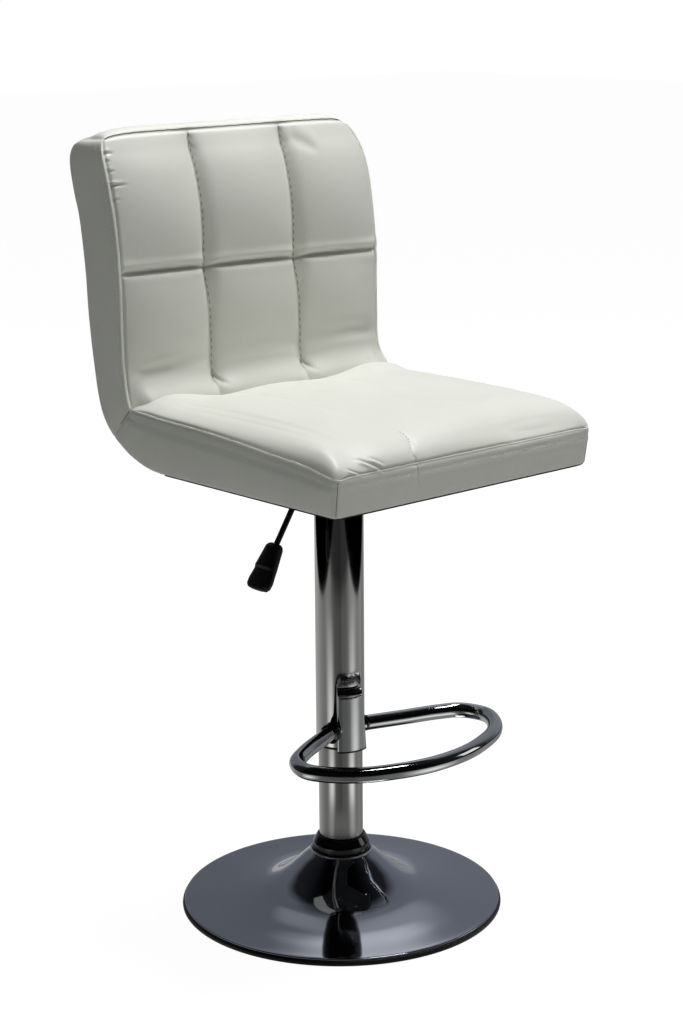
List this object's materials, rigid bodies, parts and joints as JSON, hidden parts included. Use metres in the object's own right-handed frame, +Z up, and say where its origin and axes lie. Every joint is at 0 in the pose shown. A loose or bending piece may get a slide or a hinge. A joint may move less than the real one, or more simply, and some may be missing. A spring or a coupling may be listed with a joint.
{
  "type": "adjustable swivel counter stool",
  "caption": "Swivel counter stool with a one-piece L-shaped padded seat and back, a gas-lift chrome column with lever, a looped footrest and a round trumpet base.",
  "frame": {"origin": "on the column's axis, at the height of the weight plate's underside 3 mm above the floor's plane at z 0; the floor ring rests on z 0", "axes": "+Z up along the column; the sitter faces -Y, so the back is on the +Y side; the release lever is on the -X side"},
  "size_m": [0.3984, 0.4507, 0.9242],
  "materials": {
    "base_chrome": "polished dark chrome plate",
    "stand_chrome": "satin chrome plate",
    "sleeve_chrome": "polished chrome plate",
    "footrest_chrome": "polished chrome plate",
    "rod_chrome": "hard chrome, ground",
    "spring_tube": "black paint, satin",
    "plain_steel": "plain turned steel",
    "zinc_screw": "bright zinc plate",
    "cast_iron": "rough casting",
    "black_steel": "black powder coat",
    "lever_steel": "matt black coat",
    "grip_plastic": "matt moulded plastic",
    "collar_plastic": "gloss moulded plastic",
    "bush_plastic": "matt moulded plastic",
    "floor_ring_rubber": "smooth black rubber",
    "black_rubber": "matt rubber",
    "brass": "turned",
    "plywood": "sanded bent plywood",
    "black_cloth": "non-woven dust cloth",
    "seat_leather": "off-white faux leather, fine grain, semi-matt",
    "rear_leather": "off-white faux leather, fine grain, semi-matt"
  },
  "bodies": {
    "base": {"base_shell": "base_chrome", "floor_ring": "floor_ring_rubber", "weight_plate": "cast_iron", "base_socket": "plain_steel", "neck_collar": "collar_plastic", "base_screw_1": "zinc_screw", "base_screw_2": "zinc_screw", "base_screw_3": "zinc_screw", "base_screw_4": "zinc_screw", "stand_tube": "stand_chrome", "end_plate": "plain_steel", "thrust_bearing": "plain_steel", "top_bush": "bush_plastic"},
    "rod": {"piston_rod": "rod_chrome", "rod_washer": "plain_steel", "rod_clip": "plain_steel", "rod_buffer": "black_rubber", "piston": "plain_steel", "piston_seal": "black_rubber", "piston_nut": "zinc_screw"},
    "seat": {"pressure_tube": "spring_tube", "rod_guide": "brass", "valve_body": "brass", "sleeve": "sleeve_chrome", "sleeve_guide": "bush_plastic", "sleeve_hanger": "plain_steel", "footrest_bracket": "footrest_chrome", "footrest_loop": "footrest_chrome", "seat_plate": "black_steel", "seat_bolt_1": "zinc_screw", "seat_bolt_2": "zinc_screw", "seat_bolt_3": "zinc_screw", "seat_bolt_4": "zinc_screw", "tee_nut_1": "zinc_screw", "tee_nut_2": "zinc_screw", "tee_nut_3": "zinc_screw", "tee_nut_4": "zinc_screw", "lever_pin": "zinc_screw", "seat_board": "plywood", "dust_cover": "black_cloth", "rear_cover": "rear_leather", "seat_cushion": "seat_leather", "back_cushion": "seat_leather"},
    "lever": {"lever_rod": "lever_steel", "lever_grip": "grip_plastic"},
    "valve": {"valve_pin": "plain_steel"}
  },
  "joints": [
    {"name": "swivel", "type": "hinge", "parent": "base", "child": "rod", "pos_m": [0, 0, 0], "axis": [0, 0, 1], "continuous": true},
    {"name": "height", "type": "slide", "parent": "rod", "child": "seat", "axis": [0, 0, 1], "range_m": [-0.05, 0.16]},
    {"name": "lever_lift", "type": "hinge", "parent": "seat", "child": "lever", "pos_m": [-0.034, 0, 0.53], "axis": [0, 1, 0], "range_deg": [0, 6], "stiffness_Nm_per_rad": 2, "springref_deg": -5.73},
    {"name": "valve_press", "type": "slide", "parent": "seat", "child": "valve", "axis": [0, 0, -1], "range_m": [0, 0.0039]}
  ],
  "couplings": [
    {"joint": "valve_press", "follows": "lever_lift", "m_per_rad": 0.037}
  ]
}
